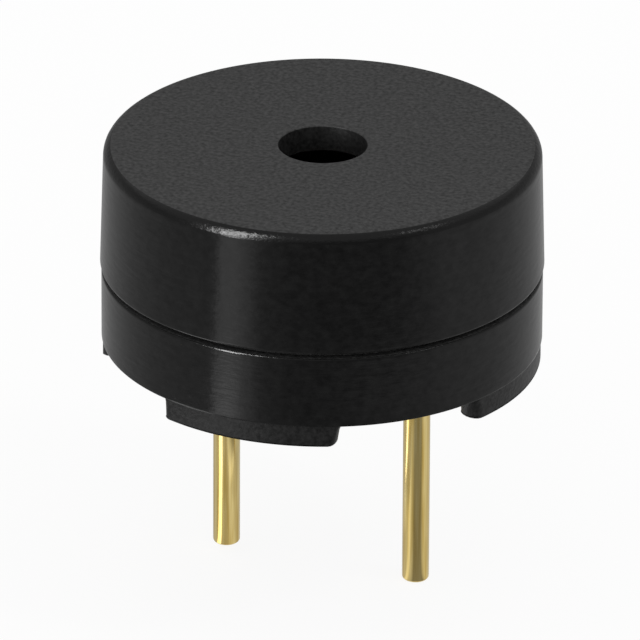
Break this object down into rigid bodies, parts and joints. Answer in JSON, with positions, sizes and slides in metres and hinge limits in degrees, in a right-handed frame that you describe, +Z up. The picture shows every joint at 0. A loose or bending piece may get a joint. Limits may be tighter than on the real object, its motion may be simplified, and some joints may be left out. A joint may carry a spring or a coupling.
{
  "type": "magnetic buzzer",
  "caption": "Round black board-mounted magnetic buzzer: a moulded cap with a sound hole over a base with standoff feet and straight brass leads; it turns a drive signal into a tone.",
  "frame": {"origin": "middle of the seating plane, where the feet stand on the circuit board", "axes": "+Z up along the axis of the round case, +X towards the positive lead"},
  "size_m": [0.0098, 0.0098, 0.0102],
  "materials": {
    "case_plastic": "moulded, fine matt grain",
    "lead_brass": "drawn, bright",
    "spring_steel": "rolled",
    "soft_iron": "nickel plated",
    "ferrite": "pressed and sintered",
    "enamelled_copper": "clear enamel over drawn copper",
    "board_laminate": "pressed laminate",
    "solder": "cooled solder",
    "epoxy": "cast resin"
  },
  "bodies": {
    "root": {"cap": "case_plastic", "base": "case_plastic", "diaphragm": "spring_steel", "armature_disc": "soft_iron", "terminal_board": "board_laminate", "yoke_plate": "soft_iron", "pole_core": "soft_iron", "coil_winding": "enamelled_copper", "ring_magnet": "ferrite", "positive_pin": "lead_brass", "negative_pin": "lead_brass", "positive_coil_lead": "enamelled_copper", "negative_coil_lead": "enamelled_copper", "positive_solder_joint": "solder", "negative_solder_joint": "solder", "epoxy_seal": "epoxy"}
  },
  "joints": []
}
